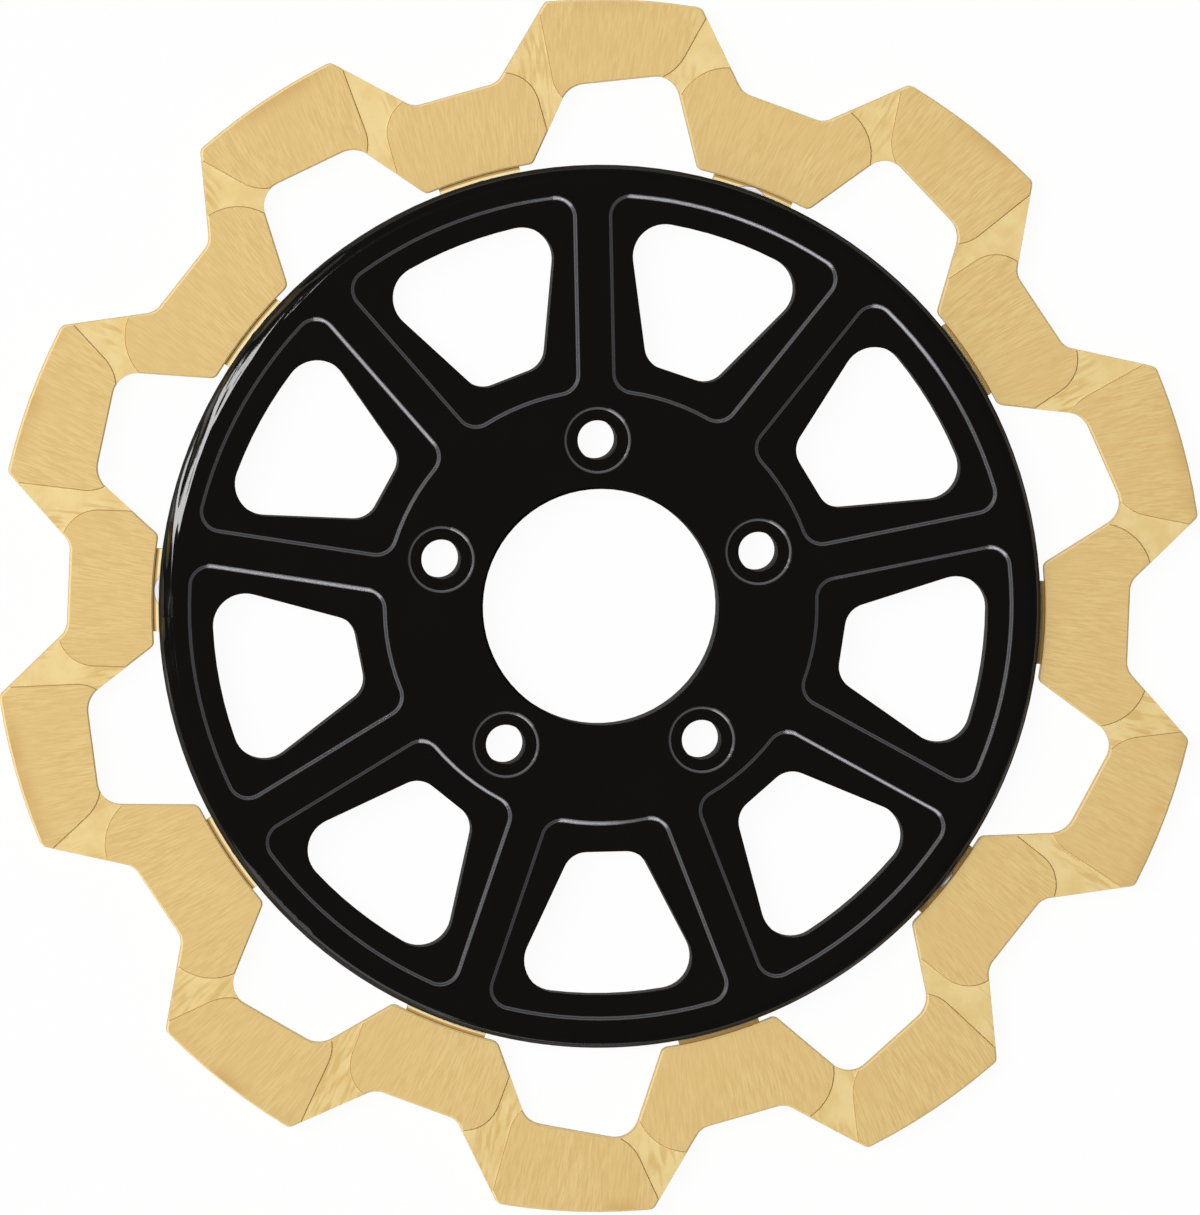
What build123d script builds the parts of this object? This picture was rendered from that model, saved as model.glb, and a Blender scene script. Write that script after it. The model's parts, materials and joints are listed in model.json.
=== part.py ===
"""Floating brake rotor for a motorcycle's front wheel, lying on its hub face.

Z is the wheel's axis and points out of the wheel. The origin is where the bore's axis
meets the face that bolts to the hub. A bolt hole and a spoke lie on +Y.
"""
from build123d import *
from math import atan2, cos, degrees, pi, radians, sin, sqrt
import os

# Stack along the axis, in heights above the hub face
ring_back_height = 3.3  # back swept face of the friction ring
ring_thickness = 5.0
tongue_thickness = 3.0  # drive tongues, in the middle of the ring's thickness
forward_gap = 0.15  # tongue to the underside of the carrier's flange
flange_thickness = 5.15  # the carrier's rim, over the tongues
web_back_height = 2.6  # backs of spokes and rim, set back from the hub pad
spring_height = 1.15  # wave spring at rest
spring_gap = 0.05  # spring to the parts above it
retainer_thickness = 1.2

# Carrier's hub
bore_diameter = 58.4
bore_chamfer = 0.6
bolt_circle = 82.55
bolt_count = 5
bolt_hole_diameter = 9.8
spotface_diameter = 16.9
spotface_depth = 0.6
spotface_wall_run = 0.8  # how far a spotface's sloping wall reaches in
hub_face_margin = 11.65  # bolt circle to the pockets
hub_pad_margin = 9.2  # bolt circle to the edge of the hub pad at the back

# Carrier's spokes, windows and the shallow pockets round the windows
spoke_count = 9
spoke_face_width = 7.64
pocket_depth = 1.0
pocket_wall_run = 1.1  # how far a pocket's sloping wall reaches in
pocket_corner = 5.5
rim_face_width = 6.85  # flange's edge to the pockets
window_outer_ledge = 6.35  # pocket's edge to the outer end of a window
window_inner_ledge = 7.6  # pocket's edge to the inner end of a window
window_inner_width = 17.2
window_side_angle = 26.3  # each side against the window's centre line
window_inner_corner = 6.0
window_outer_corner = 8.0
back_chamfer = 0.5

# Drive stations, where ten bushes carry the friction ring on the carrier
station_count = 10
drive_radius = 104.5
drive_bush_diameter = 9.3
centring_bush_diameter = 11.4
centring_stations = (0, 3, 7)
bush_lead_in = 0.4  # chamfer at a bush's back end
seat_clearance = 0.02  # bush in the carrier's half-round seat
drive_clearance = 0.1  # bush in the ring's notch, where the ring floats
rim_overhang = 4.7  # flange's edge outside the drive circle
rim_round = 3.2
rim_wall_inset = 0.3  # rim's wall under the flange, inside the drive circle
tongue_end_outset = 0.3  # end of each tongue, outside the drive circle
tongue_width = 20.5
root_gap = 1.4  # flange's edge to the roots of the inner pads
counterbore_diameter = 15.1  # room for spring and retainer, from the back
retainer_diameter = 14.5
spring_outer_diameter = 14.2
spring_inner_diameter = 11.9
spring_strip = 0.3
spring_waves = 3

# Retaining screws, with low heads and hexagon sockets
screw_diameter = 5.0
screw_hole_clearance = 0.15
thread_clearance = 0.02
screw_cover = 1.4  # metal between a blind hole and the carrier's front
screw_tip_gap = 0.3
screw_tip_chamfer = 0.5
screw_head_diameter = 8.6
screw_head_height = 1.4
screw_head_chamfer = 0.4
socket_flats = 3.0
socket_depth = 0.9

# Friction ring's outline. The inner pads are wide and narrow by turns.
ring_diameter = 300.0
ring_turn = -3.5  # an outer pad against the carrier's bolt hole on +Y
outer_corner_angle = 10.6  # corner of an outer pad from the next inner pad's centre line
outer_corner = 2.0
notch_depth = 18.65  # the ring's outer edge to a notch's floor, outside an inner pad
notch_width = 21.6
notch_corner = 5.0
root_corner = 2.0
wide_root_width = 29.0
wide_flank_angle = 34.2  # side of a wide inner pad against its centre line
wide_bay_rim = 17.3  # metal between the bay's corner beside a wide pad and the outer edge
wide_bay_corner = 6.0
narrow_root_width = 27.3
narrow_flank_angle = 40.2
narrow_bay_rim = 21.1
narrow_bay_corner = 6.5
ring_edge_chamfer = 0.4

# Smooth channels across the legs between the swept pads, on both faces. Each lies
# between an inner pad's round shoulder and the side of an outer pad. Places are given
# across the inner pad's centre line, and out from its root or in from the ring's edge.
channel_depth = 0.35
channel_wall_run = 0.3
wide_shoulder_radius = 13.1
wide_shoulder_centre = (11.95, 12.75)
wide_shoulder_end = (24.9, 10.9)
wide_side_top = (25.9, 4.7)
wide_side_waist = (27.6, 15.5)
wide_side_foot = (31.3, 22.15)
narrow_shoulder_radius = 9.0
narrow_shoulder_centre = (10.15, 14.1)
narrow_shoulder_end = (19.15, 2.4)
narrow_side_top = (25.45, 4.7)
narrow_side_waist = (24.1, 21.2)
narrow_side_foot = (25.6, 26.9)
channel_run_out = 4.0  # length by which a channel's cutter passes the ring's outline

# Sizes that follow from the ones above
ring_radius = ring_diameter / 2
ring_front = ring_back_height + ring_thickness
tongue_back = ring_back_height + (ring_thickness - tongue_thickness) / 2
tongue_front = tongue_back + tongue_thickness
flange_back = tongue_front + forward_gap
front = flange_back + flange_thickness
spring_seat = tongue_back - spring_gap - spring_height
retainer_back = spring_seat - retainer_thickness
rim_radius = drive_radius + rim_overhang
rim_wall_radius = drive_radius - rim_wall_inset
root_radius = rim_radius + root_gap
pocket_outer_radius = rim_radius - rim_face_width
pocket_inner_radius = bolt_circle / 2 + hub_face_margin
window_outer_radius = pocket_outer_radius - window_outer_ledge
window_inner_flat = pocket_inner_radius + window_inner_ledge
hub_pad_radius = bolt_circle / 2 + hub_pad_margin
station_pitch = 360 / station_count


def bush_diameter(station):
    """Outer diameter of the bush at a drive station."""
    return centring_bush_diameter if station in centring_stations else drive_bush_diameter


def station_angle(station):
    """Turn from +Y to the centre line of a drive station and its inner pad."""
    return ring_turn - station_pitch / 2 + station_pitch * station


def at_station(station, shape):
    """A shape built about the Z axis, moved out to a drive station."""
    return Rot(Z=station_angle(station)) * Pos(Y=drive_radius) * shape


def post(diameter, bottom, top):
    """Upright cylinder between two heights."""
    return Pos(Z=bottom) * extrude(Circle(diameter / 2), top - bottom)


def reach(start, angle, radius):
    """Where a line from start, leaning by an angle from +Y, meets a circle on the axis."""
    step = Vector(sin(radians(angle)), cos(radians(angle)))
    along = start.dot(step)
    return start + step * (sqrt(along**2 + radius**2 - start.length**2) - along)


def mirrored(point):
    """The same point on the other side of +Y."""
    return Vector(-point.X, point.Y)


def cell(inner, outer, inner_corner, outer_corner, inner_end):
    """Opening between two spokes: straight sides, a round outer end and a given inner end."""
    side = Line(inner, outer)
    end = ThreePointArc(outer, (0, outer.length), mirrored(outer))
    face = make_face([side, end, Line(mirrored(outer), mirrored(inner)), inner_end])
    face = fillet(face.vertices().group_by(Axis.Y)[-1], outer_corner)
    return fillet(face.vertices().group_by(Axis.Y)[0], inner_corner)


def window_outline():
    """Through window with a straight inner end."""
    inner = Vector(window_inner_width / 2, window_inner_flat)
    outer = reach(inner, window_side_angle, window_outer_radius)
    inner_end = Line(mirrored(inner), inner)
    return cell(inner, outer, window_inner_corner, window_outer_corner, inner_end)


def pocket_outline():
    """Shallow pocket whose sides run along the flat faces of the spokes beside it."""
    half_pitch = 180 / spoke_count
    offset = Vector(-spoke_face_width / 2, 0).rotate(Axis.Z, -half_pitch)
    inner = reach(offset, half_pitch, pocket_inner_radius)
    outer = reach(offset, half_pitch, pocket_outer_radius)
    inner_end = ThreePointArc(mirrored(inner), (0, inner.length), inner)
    return cell(inner, outer, pocket_corner, pocket_corner, inner_end)


def recess(outline, depth, wall_run):
    """Cutter that sinks an outline into a face at Z = 0, its wall sloping in to the floor."""
    slope = degrees(atan2(wall_run, depth))
    return extrude(outline, depth, dir=(0, 0, -1), taper=slope) + extrude(outline, depth)


def carrier_blank():
    """Turned blank: bore, hub pad, web, and the flange with its rounded front edge."""
    with BuildLine() as profile:
        Polyline(
            (bore_diameter / 2 + bore_chamfer, front),
            (bore_diameter / 2, front - bore_chamfer),
            (bore_diameter / 2, bore_chamfer),
            (bore_diameter / 2 + bore_chamfer, 0),
            (hub_pad_radius - back_chamfer, 0),
            (hub_pad_radius, back_chamfer),
            (hub_pad_radius, web_back_height),
            (rim_wall_radius - back_chamfer, web_back_height),
            (rim_wall_radius, web_back_height + back_chamfer),
            (rim_wall_radius, flange_back),
            (rim_radius - back_chamfer, flange_back),
            (rim_radius, flange_back + back_chamfer),
            (rim_radius, front - rim_round),
        )
        RadiusArc((rim_radius, front - rim_round), (rim_radius - rim_round, front), -rim_round)
        Line((rim_radius - rim_round, front), (bore_diameter / 2 + bore_chamfer, front))
    section = Plane.XZ * make_face(profile.edges())
    return revolve(section, Axis.Z)


def carrier():
    """Black centre with its spokes, pockets, bolt holes and half-round bush seats."""
    body = carrier_blank()
    pocket = Pos(Z=front) * recess(pocket_outline(), pocket_depth, pocket_wall_run)
    window = extrude(window_outline(), front)
    half_pitch = 180 / spoke_count
    cuts = []
    for spoke in range(spoke_count):
        turn = Rot(Z=half_pitch + 2 * half_pitch * spoke)
        cuts += [turn * pocket, turn * window]
    spotface = recess(Circle(spotface_diameter / 2), spotface_depth, spotface_wall_run)
    bolt_hole = Pos(Z=front) * spotface + post(bolt_hole_diameter, 0, front)
    for bolt in range(bolt_count):
        cuts.append(Rot(Z=360 / bolt_count * bolt) * Pos(Y=bolt_circle / 2) * bolt_hole)
    for station in range(station_count):
        seat = post(bush_diameter(station) + 2 * seat_clearance, 0, flange_back)
        seat += post(counterbore_diameter, 0, tongue_back)
        seat += post(screw_diameter + 2 * thread_clearance, 0, front - screw_cover)
        cuts.append(at_station(station, seat))
    return body - cuts


def notch_outline():
    """Notch in the ring's outer edge, outside an inner pad."""
    inner = Vector(notch_width / 2, ring_radius - notch_depth)
    angle = radians(outer_corner_angle)
    corner = Vector(sin(angle), cos(angle)) * ring_radius
    beyond = inner + (corner - inner) * 1.5
    face = make_face(Polyline(mirrored(inner), inner, beyond, mirrored(beyond), close=True))
    return fillet(face.vertices().group_by(Axis.Y)[0], notch_corner)


def bay_side(root_width, flank_angle, bay_rim):
    """Root and corner of a bay beside an inner pad, across and out from that pad's axis."""
    half = root_width / 2
    root = Vector(half, sqrt(root_radius**2 - half**2))
    return root, reach(root, flank_angle, ring_radius - bay_rim)


def bay_sides():
    """Sides of a bay, beside its wide inner pad and beside its narrow one."""
    wide = bay_side(wide_root_width, wide_flank_angle, wide_bay_rim)
    narrow = bay_side(narrow_root_width, narrow_flank_angle, narrow_bay_rim)
    return wide, narrow


def side_length(side):
    """Length of a bay's side, from root to corner."""
    root, corner = side
    return (corner - root).length


def bay_outline():
    """Opening inside an outer pad, with a wide inner pad on its right, a narrow one left."""
    wide, narrow = bay_sides()
    half_pitch = station_pitch / 2
    right = [mirrored(point).rotate(Axis.Z, -half_pitch) for point in wide]
    left = [point.rotate(Axis.Z, half_pitch) for point in reversed(narrow)]
    face = make_face(Polyline(*right, *left, close=True))
    wide_corner = min(wide_bay_corner, side_length(wide) / 2)
    narrow_corner = min(narrow_bay_corner, side_length(narrow) / 2)
    face = fillet(face.vertices().sort_by_distance(right[1])[0], wide_corner)
    return fillet(face.vertices().sort_by_distance(left[0])[0], narrow_corner)


def ring_outline():
    """Wave outline of the full-thickness ring, without the tongues."""
    notch = notch_outline()
    bay = bay_outline()
    outline = Circle(ring_radius) - Circle(root_radius)
    for station in range(station_count):
        outline -= Rot(Z=station_angle(station)) * notch
        lobe_turn = Rot(Z=station_angle(station) + station_pitch / 2)
        outline -= lobe_turn * (bay if station % 2 == 0 else mirror(bay, Plane.YZ))
    from_axis = outline.vertices().group_by(lambda vertex: round(Vector(vertex).length, 3))
    outline = fillet(from_axis[-1], outer_corner)
    from_axis = outline.vertices().group_by(lambda vertex: round(Vector(vertex).length, 3))
    shortest_side = min(side_length(side) for side in bay_sides())
    return fillet(from_axis[0], min(root_corner, shortest_side / 4))


def channel_outline(shoulder_radius, centre, shoulder_end, top, waist, foot):
    """Channel on the right of an inner pad, from its shoulder to the outer pad's side."""
    centre = Vector(centre[0], root_radius + centre[1])
    end = Vector(shoulder_end[0], root_radius + shoulder_end[1])
    top, waist, foot = (Vector(x, ring_radius - depth) for x, depth in (top, waist, foot))
    start = centre + Vector(0, shoulder_radius)
    side_end = centre + Vector(shoulder_radius, 0)
    shoulder = ThreePointArc(start, centre + Vector(1, 1).normalized() * shoulder_radius, side_end)
    beyond_top = top + (top - waist).normalized() * channel_run_out
    below_foot = Vector(foot.X, foot.Y - channel_run_out)
    edges = [
        shoulder,
        Line(side_end, end),
        Line(end, below_foot),
        Line(below_foot, foot),
        TangentArc(waist, foot, tangent=waist - top),
        Line(waist, beyond_top),
        Line(beyond_top, start),
    ]
    return make_face(edges)


def channel_cutters(station):
    """Cutters for the channels on both sides of one inner pad, on both faces."""
    if station % 2 == 0:
        outline = channel_outline(
            wide_shoulder_radius, wide_shoulder_centre, wide_shoulder_end,
            wide_side_top, wide_side_waist, wide_side_foot,
        )
    else:
        outline = channel_outline(
            narrow_shoulder_radius, narrow_shoulder_centre, narrow_shoulder_end,
            narrow_side_top, narrow_side_waist, narrow_side_foot,
        )
    above = Pos(Z=ring_front) * recess(outline, channel_depth, channel_wall_run)
    below = mirror(above, Plane.XY.offset(ring_back_height + ring_thickness / 2))
    turn = Rot(Z=station_angle(station))
    sides = [above, below, mirror(above, Plane.YZ), mirror(below, Plane.YZ)]
    return [turn * side for side in sides]


def tongue():
    """Drive tongue of an inner pad, before its notch is cut."""
    inner = drive_radius + tongue_end_outset
    length = root_radius + root_gap - inner
    block = Pos(Y=inner + length / 2) * Rectangle(tongue_width, length)
    return Pos(Z=tongue_back) * extrude(block, tongue_thickness)


def friction_ring():
    """Wave ring with its swept pads, channels, drive tongues and notches."""
    body = Pos(Z=ring_back_height) * extrude(ring_outline(), ring_thickness)
    faces = body.faces().sort_by(Axis.Z)
    body = chamfer(faces[0].edges() + faces[-1].edges(), ring_edge_chamfer)
    tongues = tongue()
    body += [Rot(Z=station_angle(station)) * tongues for station in range(station_count)]
    cuts = []
    for station in range(station_count):
        cuts += channel_cutters(station)
        notch = post(bush_diameter(station) + 2 * drive_clearance, 0, front)
        cuts.append(at_station(station, notch + post(counterbore_diameter, 0, tongue_back)))
    return body - cuts


def drive_bush(station):
    """Steel bush clamped under the flange, half in the carrier and half in the tongue."""
    bush = post(bush_diameter(station), spring_seat, flange_back)
    bush = chamfer(bush.edges().group_by(Axis.Z)[0], bush_lead_in)
    return bush - post(screw_diameter + 2 * screw_hole_clearance, 0, front)


def wave_line(radius, height):
    """Closed wavy line at one edge of a wave spring."""
    swing = (spring_height - spring_strip) / 2
    steps = 8 * spring_waves
    points = []
    for step in range(steps):
        turn = 2 * pi * step / steps
        points.append((radius * cos(turn), radius * sin(turn), height + swing * cos(spring_waves * turn)))
    return Spline(points, periodic=True).edge()


def wave_spring():
    """Closed wave washer that presses the ring forward against the flange."""
    middle = spring_seat + spring_height / 2
    inner, outer = spring_inner_diameter / 2, spring_outer_diameter / 2
    corners = [(inner, -0.5), (outer, -0.5), (outer, 0.5), (inner, 0.5)]
    lines = [wave_line(radius, middle + side * spring_strip) for radius, side in corners]
    faces = [Face.make_surface_from_curves(lines[corner - 1], lines[corner]) for corner in range(4)]
    return Solid(Shell(faces))


def retaining_washer():
    """Flat washer under the screw's head, which holds spring and tongue from the back."""
    disc = post(retainer_diameter, retainer_back, spring_seat)
    return disc - post(screw_diameter + 2 * screw_hole_clearance, 0, front)


def retaining_screw():
    """Low-head screw from the back into the flange's blind hole."""
    head = post(screw_head_diameter, retainer_back - screw_head_height, retainer_back)
    head = chamfer(head.edges().group_by(Axis.Z)[0], screw_head_chamfer)
    shank = post(screw_diameter, retainer_back, front - screw_cover - screw_tip_gap)
    shank = chamfer(shank.edges().group_by(Axis.Z)[-1], screw_tip_chamfer)
    socket = RegularPolygon(socket_flats / 2, 6, major_radius=False)
    return head + shank - Pos(Z=retainer_back - screw_head_height) * extrude(socket, socket_depth)


def write(name, shape):
    """Write one named piece, or one group of equal pieces, as a STEP file."""
    shape.label = name
    export_step(shape, f"parts/{name}.step")


os.makedirs("parts", exist_ok=True)
write("carrier", carrier())
write("friction_ring", friction_ring())
spring = wave_spring()
washer = retaining_washer()
screw = retaining_screw()
for station in range(station_count):
    number = f"{station + 1:02d}"
    write(f"drive_bush_{number}", at_station(station, drive_bush(station)))
    write(f"wave_spring_{number}", at_station(station, spring))
    write(f"retaining_washer_{number}", at_station(station, washer))
screws = [at_station(station, screw) for station in range(station_count)]
write("retaining_screws", Compound(children=screws))
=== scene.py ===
"""Looks of a floating brake rotor: brushed gold friction ring on a gloss black carrier."""

import json
from math import atan2, cos, pi, radians, sin

import bpy
from mathutils import Matrix, Vector


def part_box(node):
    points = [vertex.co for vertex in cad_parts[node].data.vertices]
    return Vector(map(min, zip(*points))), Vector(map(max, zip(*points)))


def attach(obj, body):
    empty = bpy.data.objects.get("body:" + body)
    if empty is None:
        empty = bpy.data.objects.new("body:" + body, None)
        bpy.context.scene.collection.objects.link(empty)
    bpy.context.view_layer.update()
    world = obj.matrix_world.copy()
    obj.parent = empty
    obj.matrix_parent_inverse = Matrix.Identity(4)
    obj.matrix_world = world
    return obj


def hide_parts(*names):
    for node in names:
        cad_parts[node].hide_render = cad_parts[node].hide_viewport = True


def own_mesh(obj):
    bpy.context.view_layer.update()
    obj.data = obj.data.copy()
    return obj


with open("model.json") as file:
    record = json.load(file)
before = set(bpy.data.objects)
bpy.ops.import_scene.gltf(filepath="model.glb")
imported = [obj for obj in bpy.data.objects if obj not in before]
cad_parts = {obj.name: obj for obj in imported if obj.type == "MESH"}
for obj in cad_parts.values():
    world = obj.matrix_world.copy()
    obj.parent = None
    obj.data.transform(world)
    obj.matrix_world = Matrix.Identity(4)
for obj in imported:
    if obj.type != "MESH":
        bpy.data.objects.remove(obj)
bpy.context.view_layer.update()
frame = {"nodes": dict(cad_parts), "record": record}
nodes = frame["nodes"]
scene = bpy.context.scene
scene.view_settings.view_transform = "Standard"

MM = 0.001
ring_low, ring_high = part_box("friction_ring")
carrier_low, carrier_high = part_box("carrier")
ring_front, ring_back = ring_high.z, ring_low.z
carrier_front = carrier_high.z
rim_radius = carrier_high.x
root_radius = rim_radius + 1.4 * MM

# Camera: a long lens a few degrees off the wheel's axis. It aims just beside the axis.
CAMERA_DISTANCE = 6.0
CAMERA_TILT = radians(4.9)
CAMERA_SIDE = radians(145.2)
CAMERA_UP = radians(88.8)
CAMERA_AIM = (0.03 * MM, -0.25 * MM)
FRAME_HEIGHT = 300.2 * MM
SENSOR = 36.0

# Features that carry their own finish
CHANNEL_DEPTH = 0.35 * MM
TONGUE_DEPTH = 0.8 * MM
POCKET_DEPTH = 1.0 * MM
FACE_RADIUS = 125 * MM  # middle of the friction ring's faces
BORE_EDGE = 31 * MM  # radius outside the bore's chamfer
SPOTFACE_EDGE = 50 * MM  # radius outside the spotfaces

# Side of the rim where the coating has run a little, and how far that reaches
RUN_SIDE = radians(158)
RUN_FADES, RUN_FULL = 85 * MM, 98 * MM

# Wave springs: closed strips that press the ring forward
SPRING_STRIP = 0.3 * MM
SPRING_INNER_RADIUS = 5.95 * MM
SPRING_WAVES = 3
SPRING_STEPS = 96

# Studio
FLOOR_REACH = 12.0
FLOOR_GLOW = 0.96  # share of the floor's white that doesn't come from the lamps
LAMP_DISTANCE = 9.0
SURROUND = 0.1


def polar(radius, angle, height=0.0):
    """Point at a radius and an angle about the wheel's axis."""
    return Vector((radius * cos(angle), radius * sin(angle), height))


def place_camera():
    """Camera over the friction ring's front face."""
    camera = bpy.data.objects.new("camera", bpy.data.cameras.new("camera"))
    scene.collection.objects.link(camera)
    camera.data.sensor_width = SENSOR
    camera.data.lens = SENSOR * CAMERA_DISTANCE / FRAME_HEIGHT
    back = polar(sin(CAMERA_TILT), CAMERA_SIDE, cos(CAMERA_TILT))
    right = polar(1, CAMERA_UP).cross(back).normalized()
    up = back.cross(right)
    turn = Matrix((right, up, back)).transposed()
    aim = Vector((0, 0, ring_front)) + right * CAMERA_AIM[0] + up * CAMERA_AIM[1]
    camera.matrix_world = Matrix.Translation(aim + back * CAMERA_DISTANCE) @ turn.to_4x4()
    scene.camera = camera


class Socket:
    """Output of a node. Python's operators on it add Math nodes."""

    def __init__(self, tree, output):
        self.tree, self.output = tree, output

    def math(self, operation, *values):
        """Any operation of the Math node."""
        return self.tree.node("ShaderNodeMath", {"operation": operation}, *values)

    def __add__(self, other):
        return self.math("ADD", self, other)

    __radd__ = __add__

    def __mul__(self, other):
        return self.math("MULTIPLY", self, other)

    __rmul__ = __mul__

    def __sub__(self, other):
        return self.math("SUBTRACT", self, other)

    def __rsub__(self, other):
        return self.math("SUBTRACT", other, self)

    def __truediv__(self, other):
        return self.math("DIVIDE", self, other)

    def __pow__(self, other):
        return self.math("POWER", self, other)

    def rise(self, low, high):
        """0 below low, 1 above high, and a smooth rise between them."""
        settings = {"interpolation_type": "SMOOTHSTEP"}
        return self.tree.node("ShaderNodeMapRange", settings, self, low, high)

    def angle(self, across):
        """Angle of the point at distances across and self along the X and Y axes."""
        return self.math("ARCTAN2", self, across)


class Tree:
    """A node tree and short ways to add nodes to it."""

    def __init__(self, node_tree):
        self.node_tree = node_tree

    def node(self, kind, settings, *values, output=0, **named):
        """Adds a node, sets its settings, then fills its sockets with values or links."""
        node = self.node_tree.nodes.new(kind)
        for key, value in settings.items():
            setattr(node, key, value)
        keyed = [*enumerate(values)]
        keyed += [(key.replace("_", " "), value) for key, value in named.items()]
        for key, value in keyed:
            self.fill(node.inputs[key], value)
        return Socket(self, node.outputs[output])

    def fill(self, socket, value):
        """Links a socket, or sets its own value."""
        if isinstance(value, Socket):
            self.node_tree.links.new(value.output, socket)
        else:
            socket.default_value = value

    def split(self, vector):
        """The X, Y and Z of a vector."""
        node = self.node("ShaderNodeSeparateXYZ", {}, vector).output.node
        return [Socket(self, output) for output in node.outputs]

    def join(self, x, y, z):
        """A vector from three numbers."""
        return self.node("ShaderNodeCombineXYZ", {}, x, y, z)


class Finish(Tree):
    """A material and its Principled shader. Constants are set on the shader itself."""

    def __init__(self, name, **constants):
        self.material = bpy.data.materials.new(name)
        self.material.use_nodes = True
        super().__init__(self.material.node_tree)
        self.shader = self.node_tree.nodes["Principled BSDF"]
        self.use(**constants)

    def use(self, **sockets):
        """Fills the Principled shader's sockets."""
        for key, value in sockets.items():
            self.fill(self.shader.inputs[key.replace("_", " ")], value)

    def place(self):
        """Position on the piece, in metres in the row's frame."""
        return self.node("ShaderNodeTexCoord", {}, output="Object")

    def noise(self, vector, scale, detail=2.0, roughness=0.5):
        """Noise between 0 and 1."""
        values = {"Vector": vector, "Scale": scale, "Detail": detail, "Roughness": roughness}
        return self.node("ShaderNodeTexNoise", {}, **values)

    def mix(self, factor, first, second):
        """Colour between two colours."""
        node = self.node_tree.nodes.new("ShaderNodeMix")
        node.data_type = "RGBA"
        for index, value in ((0, factor), (6, first), (7, second)):
            self.fill(node.inputs[index], value)
        return Socket(self, node.outputs[2])

    def bump(self, height, distance):
        """Normal from a height between 0 and 1 of a real depth in metres."""
        return self.node("ShaderNodeBump", {}, Distance=distance, Height=height)


class Shape(Tree):
    """A Geometry Nodes tree. Its named inputs are the shape's sizes."""

    def __init__(self, name, **sizes):
        super().__init__(bpy.data.node_groups.new(name, "GeometryNodeTree"))
        self.name, self.values = name, {}
        for title, value in sizes.items():
            kind = "NodeSocketInt" if isinstance(value, int) else "NodeSocketFloat"
            socket = self.node_tree.interface.new_socket(title, in_out="INPUT", socket_type=kind)
            self.values[socket.identifier] = value
        self.sizes = self.node_tree.nodes.new("NodeGroupInput").outputs

    def size(self, title):
        """One of the tree's named inputs."""
        return Socket(self, self.sizes[title])

    def build(self, geometry, material):
        """Plain mesh object with everything that the tree makes."""
        whole = self.node("GeometryNodeRealizeInstances", {}, geometry)
        dressed = self.node("GeometryNodeSetMaterial", {}, whole, Material=material)
        sockets = self.node_tree.interface
        sockets.new_socket("Geometry", in_out="OUTPUT", socket_type="NodeSocketGeometry")
        end = self.node_tree.nodes.new("NodeGroupOutput")
        self.fill(end.inputs["Geometry"], dressed)
        holder = bpy.data.objects.new(self.name, bpy.data.meshes.new(self.name))
        scene.collection.objects.link(holder)
        modifier = holder.modifiers.new(self.name, "NODES")
        modifier.node_group = self.node_tree
        for key, value in self.values.items():
            modifier[key] = value
        evaluated = holder.evaluated_get(bpy.context.evaluated_depsgraph_get())
        mesh = bpy.data.meshes.new_from_object(evaluated)
        bpy.data.objects.remove(holder)
        piece = bpy.data.objects.new(self.name, mesh)
        scene.collection.objects.link(piece)
        return piece


def srgb(red, green, blue):
    """Linear colour from display values of 0 to 255."""
    def linear(value):
        value /= 255
        return value / 12.92 if value <= 0.04045 else ((value + 0.055) / 1.055) ** 2.4
    return (linear(red), linear(green), linear(blue), 1.0)


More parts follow.
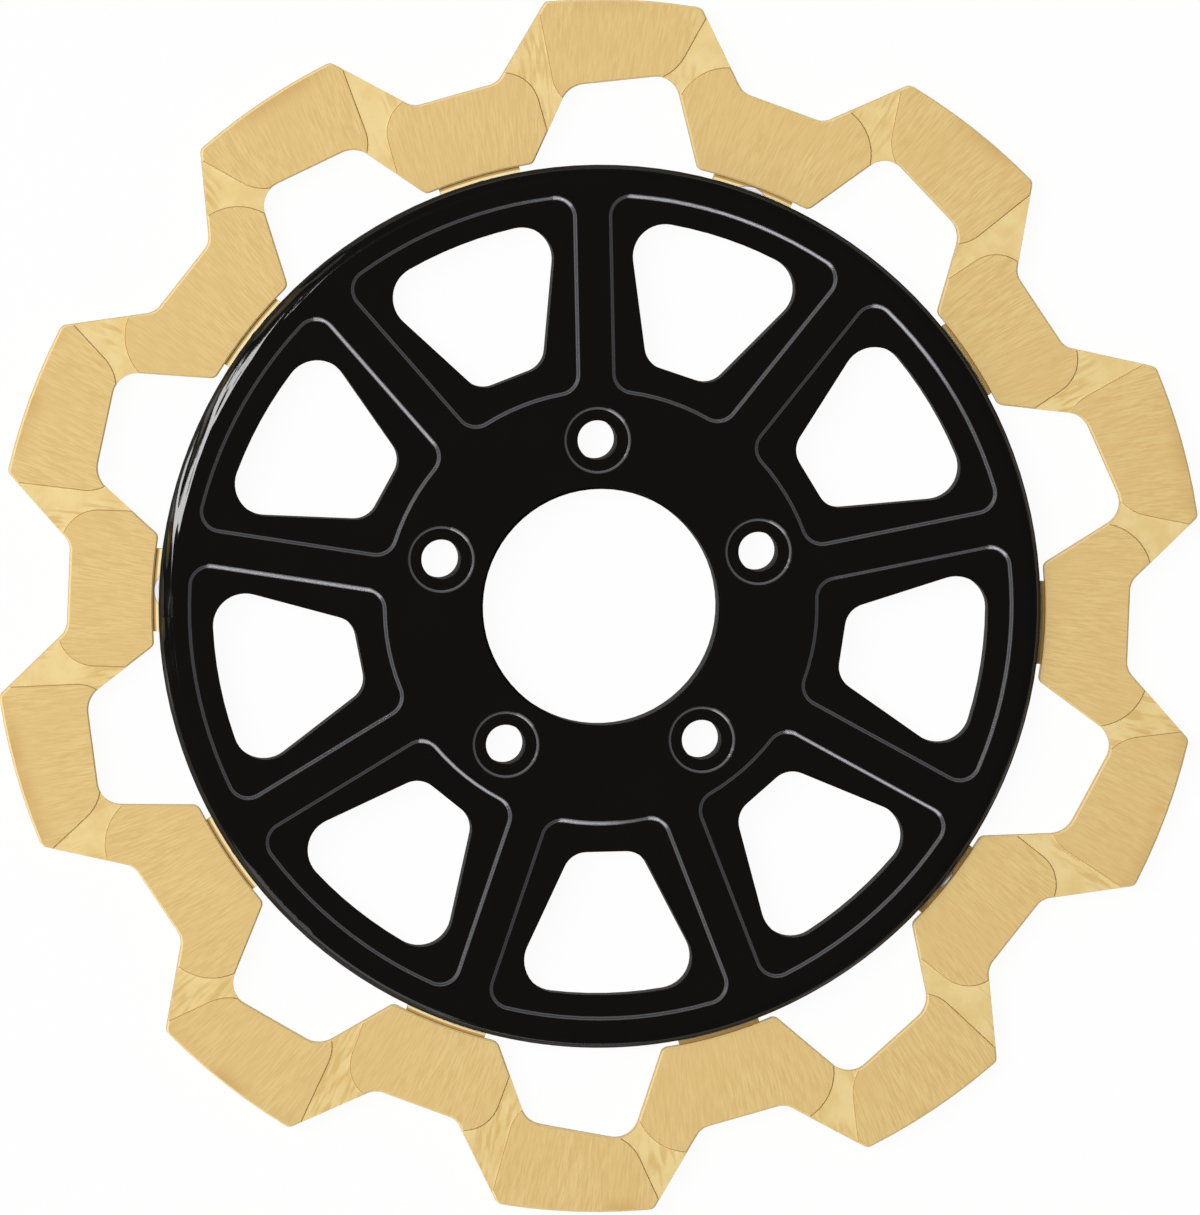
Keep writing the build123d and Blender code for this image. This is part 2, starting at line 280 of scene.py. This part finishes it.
def brushed_gold():
    """Swept pads with a fine grain, paler smooth channels, painted shadow and highlight lines at
    the steps, and painted shadow at the tongues' roots.
    """
    f = Finish("brushed_gold")
    x, y, z = f.split(f.place())
    radius = (x * x + y * y) ** 0.5
    around = y.angle(x) * FACE_RADIUS
    half = (ring_front - ring_back) / 2
    middle = z - (ring_front + ring_back) / 2
    depth = half - middle.math("ABSOLUTE", middle)

    # Masks by depth below the nearer face
    pad = 1 - depth.rise(0.02 * MM, 0.08 * MM)
    step = depth.rise(0.16 * MM, 0.22 * MM)
    channel = depth.rise(CHANNEL_DEPTH - 0.06 * MM, CHANNEL_DEPTH - 0.02 * MM)
    tongue = depth.rise(TONGUE_DEPTH, TONGUE_DEPTH + 0.15 * MM)

    # Masks by slope: the 45 degree edges and the outline's walls
    _, _, facing = f.split(f.node("ShaderNodeNewGeometry", {}, output="True Normal"))
    upright = facing.math("ABSOLUTE", facing)
    chamfer = upright.rise(0.67, 0.69) * (1 - upright.rise(0.72, 0.75))
    wall = 1 - upright.rise(0.1, 0.2)

    # Strokes of the grain lean a little, and lighter and darker clouds drift through them
    cloud = f.noise(f.join(around * 2.0, radius, z), 45.0, 3.0)
    leaning = around + radius * 0.1 + cloud * 1.5 * MM
    strokes = f.noise(f.join(leaning * 14.0, radius, z), 200.0, 4.0, 0.65)
    creases = f.noise(f.join(around, radius, z), 160.0, 3.0, 0.6)

    swept = f.mix(strokes.rise(0.3, 0.7), srgb(224, 189, 119), srgb(240, 212, 147))
    swept = f.mix(cloud.rise(0.35, 0.65) * 0.5, swept, srgb(232, 199, 131))
    worn = radius.rise(ring_high.y - 5 * MM, ring_high.y) * cloud.rise(0.4, 0.7)
    swept = f.mix(worn * 0.5, swept, srgb(204, 160, 88))

    # Channels: pale, with soft ripples here and there, and at each step a dark line of painted
    # shadow over a light line of painted highlight
    ripple = f.noise(f.join(around * 2.6 + cloud * 9 * MM, radius * 0.35, z), 420.0, 1.0)
    wrinkle = ripple.rise(0.45, 0.62) * cloud.rise(0.44, 0.6)
    smooth = f.mix(creases.rise(0.3, 0.7), srgb(236, 206, 138), srgb(244, 219, 155))
    smooth = f.mix(wrinkle * 0.7, smooth, srgb(220, 182, 106))
    step_shade_and_highlight = f.mix(step, srgb(180, 136, 70), srgb(255, 236, 182))
    colour = f.mix(channel, f.mix(pad, step_shade_and_highlight, swept), smooth)

    # Tongues: cream, with a painted shadow where they go in under the pads
    root = radius.rise(root_radius - 0.95 * MM, root_radius - 0.6 * MM)
    shaded = radius.rise(root_radius - 0.5 * MM, root_radius - 0.05 * MM)
    cream = f.mix(cloud, srgb(255, 244, 200), srgb(250, 232, 176))
    root_shadow = f.mix(shaded, srgb(204, 156, 76), srgb(158, 112, 40))
    colour = f.mix(tongue, colour, f.mix(root, cream, root_shadow))

    colour = f.mix(wall, colour, srgb(226, 186, 114))
    # Chamfers are painted paler than the pads: a painted highlight that offsets the shade they
    # get
    colour = f.mix(chamfer, colour, srgb(246, 218, 154))
    f.use(
        Base_Color=colour,
        Metallic=0.4 * (1 - chamfer),
        Roughness=0.55 + strokes * pad * 0.1,
        Normal=f.bump(strokes * pad + creases * channel, 0.01 * MM),
    )
    return f.material


def gloss_black():
    """Gloss black coating, and a painted highlight: a satin grey metallic band along the slopes
    of pockets and spotfaces.
    """
    f = Finish("gloss_black", Specular_IOR_Level=0.4)
    place = f.place()
    x, y, z = f.split(place)
    radius = (x * x + y * y) ** 0.5
    _, _, facing_up = f.split(f.node("ShaderNodeNewGeometry", {}, output="True Normal"))

    # Painted highlight: a satin grey metallic band on the slopes, brightest mid-way down them as
    # on a rounded wall, between the bore and the rim, weaker round the spotfaces
    slope = facing_up.rise(0.3, 0.4) * (1 - facing_up.rise(0.93, 0.97))
    below = carrier_front - z
    crest = below.rise(0.05 * MM, 0.45 * MM) * (1 - below.rise(0.6 * MM, POCKET_DEPTH))
    outside_bore = radius.rise(BORE_EDGE, BORE_EDGE + 1 * MM)
    inside_rim = 1 - radius.rise(rim_radius - 5 * MM, rim_radius - 4 * MM)
    pockets = radius.rise(SPOTFACE_EDGE, SPOTFACE_EDGE + 2 * MM)
    slope_highlight = slope * crest * outside_bore * inside_rim * (0.5 + pockets * 0.5)

    # The rim's coating: duller on its lower side, and wavy where it has run
    rim = radius.rise(rim_radius - 3.6 * MM, rim_radius - 2.6 * MM)
    side = 1 - facing_up.rise(0.02 + rim * 0.4, 0.1 + rim * 0.55)
    around = y.angle(x) * rim_radius
    run = (x * cos(RUN_SIDE) + y * sin(RUN_SIDE)).rise(RUN_FADES, RUN_FULL)
    outer = radius.rise(rim_radius - 2.2 * MM, rim_radius - 1.0 * MM)
    uneven = rim * run * (1 + outer * 1.5)
    wave = f.noise(f.join(around * 0.10, radius + around * 0.08, z), 460.0, 0.0)

    peel = f.noise(place, 400.0)
    haze = f.noise(place, 60.0, 3.0)
    highlight_mottle = f.noise(f.join(x, y, z * 8.0), 700.0, 3.0)
    face = f.mix(haze, srgb(10, 8, 5), srgb(13, 10, 7))
    highlight_grey = f.mix(highlight_mottle, srgb(170, 170, 175), srgb(192, 192, 198))
    f.use(
        Base_Color=f.mix(slope_highlight, face, highlight_grey),
        Metallic=slope_highlight,
        Roughness=0.08 + haze * 0.04 + slope_highlight * 0.18 + side * 0.8,
        Normal=f.bump(peel * 0.02 + (wave - 0.5) * uneven, 0.7 * MM),
    )
    return f.material


def steel(name, dark, light, roughness):
    """Turned or rolled steel with fine scratches."""
    f = Finish(name, Metallic=1.0)
    x, y, z = f.split(f.place())
    scratch = f.noise(f.join(x, y * 6.0, z * 3.0), 900.0, 3.0)
    f.use(
        Base_Color=f.mix(scratch, dark, light),
        Roughness=roughness + scratch * 0.12,
        Normal=f.bump(scratch, 0.006 * MM),
    )
    return f.material


def add_wave_springs(material):
    """Ten wave springs behind the tongues."""
    names = [name for name in nodes if name.startswith("wave_spring")]
    low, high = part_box("wave_spring_01")
    middle = (low + high) / 2
    shape = Shape(
        "wave_springs",
        Station_Count=len(names),
        Station_Radius=middle.xy.length,
        First_Station=atan2(middle.y, middle.x),
        Height_Above_Hub=middle.z,
        Outer_Radius=(high.x - low.x) / 2,
        Inner_Radius=SPRING_INNER_RADIUS,
        Strip=SPRING_STRIP,
        Spring_Height=high.z - low.z,
        Waves=SPRING_WAVES,
    )
    outer, inner = shape.size("Outer_Radius"), shape.size("Inner_Radius")
    strip = shape.size("Strip")
    middle_radius = (outer + inner) / 2
    circle = shape.node(
        "GeometryNodeCurvePrimitiveCircle", {}, Resolution=SPRING_STEPS, Radius=middle_radius
    )
    x, y, _ = shape.split(shape.node("GeometryNodeInputPosition", {}))
    phase = y.angle(x) * shape.size("Waves")
    swing = (shape.size("Spring_Height") - strip) / 2 * phase.math("COSINE", phase)
    waved = shape.node("GeometryNodeSetPosition", {}, circle, Offset=shape.join(0.0, 0.0, swing))
    flat = shape.node("GeometryNodeSetCurveNormal", {"mode": "Z_UP"}, waved)
    section = shape.node("GeometryNodeCurvePrimitiveQuadrilateral", {}, strip, outer - inner)
    spring = shape.node("GeometryNodeCurveToMesh", {}, flat, section)
    number = shape.node("GeometryNodeInputIndex", {})
    turn = shape.size("First_Station") + number * (2 * pi) / shape.size("Station_Count")
    reach = shape.size("Station_Radius")
    across, along = reach * turn.math("COSINE", turn), reach * turn.math("SINE", turn)
    station = shape.join(across, along, shape.size("Height_Above_Hub"))
    points = shape.node("GeometryNodePoints", {}, shape.size("Station_Count"), station)
    turned = shape.join(0.0, 0.0, turn - pi / 2)
    springs = shape.node(
        "GeometryNodeInstanceOnPoints", {}, points, Instance=spring, Rotation=turned
    )
    piece = shape.build(springs, material)
    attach(piece, "carrier")
    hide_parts(*names)
    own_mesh(piece)


def add_floor():
    """Pale floor that shows white to the camera and in reflections, and keeps a soft shadow."""
    mesh = bpy.data.meshes.new("floor")
    low, high = -FLOOR_REACH, FLOOR_REACH
    corners = [(low, low), (high, low), (high, high), (low, high)]
    mesh.from_pydata([(x, y, carrier_low.z) for x, y in corners], [], [(0, 1, 2, 3)])
    floor = bpy.data.objects.new("floor", mesh)
    scene.collection.objects.link(floor)
    f = Finish("pale_floor", Roughness=0.9, Specular_IOR_Level=0.0)
    f.use(Base_Color=f.mix(f.noise(f.place(), 30.0), srgb(248, 248, 248), srgb(253, 253, 253)))
    path = f.node("ShaderNodeLightPath", {}).output.node.outputs
    rays = ("Is Camera Ray", "Is Glossy Ray", "Is Transmission Ray")
    seen = sum(Socket(f, path[ray]) for ray in rays)
    seen = seen.math("MINIMUM", seen, 1.0)
    glow = f.node("ShaderNodeEmission", {}, Color=(1, 1, 1, 1), Strength=1.0)
    lit = Socket(f, f.shader.outputs["BSDF"])
    surface = f.node("ShaderNodeMixShader", {}, seen * FLOOR_GLOW, lit, glow)
    f.fill(f.node_tree.nodes["Material Output"].inputs["Surface"], surface)
    mesh.materials.append(f.material)


def add_lamp(name, side, zenith, width, height, radiance):
    """Rectangular lamp aimed at the rotor, at an angle round its axis and one from the zenith."""
    light = bpy.data.lights.new(name, "AREA")
    light.shape, light.size, light.size_y = "RECTANGLE", width, height
    light.energy = radiance * pi * width * height
    lamp = bpy.data.objects.new(name, light)
    scene.collection.objects.link(lamp)
    away = polar(sin(radians(zenith)), radians(side), cos(radians(zenith)))
    place = Matrix.Translation(away * LAMP_DISTANCE)
    lamp.matrix_world = place @ away.to_track_quat("Z", "Y").to_matrix().to_4x4()


def light_studio():
    """Lamps round the rotor, none of them over its flat black face, and a dim surround."""
    add_lamp("key_lamp", 157, 27, 2.4, 5.0, 17.0)
    add_lamp("left_strip", 151, 54, 0.3, 4.2, 11.0)
    add_lamp("right_strip", 163, 54, 0.3, 4.2, 11.0)
    add_lamp("low_front_lamp", 264, 87, 4.4, 0.4, 4.5)
    add_lamp("wall_lamp", 236, 72, 5.6, 3.6, 1.8)
    world = bpy.data.worlds.new("studio")
    scene.world = world
    world.use_nodes = True
    background = world.node_tree.nodes["Background"]
    background.inputs["Color"].default_value = (1, 1, 1, 1)
    background.inputs["Strength"].default_value = SURROUND


place_camera()
spring_steel = steel("spring_steel", srgb(150, 151, 156), srgb(186, 187, 191), 0.3)
finishes = {
    "black_anodised_carrier": gloss_black(),
    "gold_swept_face": brushed_gold(),
    "bush_steel": steel("bush_steel", srgb(222, 223, 228), srgb(242, 243, 247), 0.42),
    "spring_steel": spring_steel,
    "washer_steel": steel("washer_steel", srgb(176, 177, 180), srgb(208, 209, 211), 0.32),
    "screw_steel": steel("screw_steel", srgb(168, 168, 171), srgb(204, 204, 207), 0.28),
}
for part in frame["record"]["subparts"]:
    for slot in nodes[part["node"]].material_slots:
        slot.material = finishes[part["material_slot"]]
add_wave_springs(spring_steel)
add_floor()
light_studio()
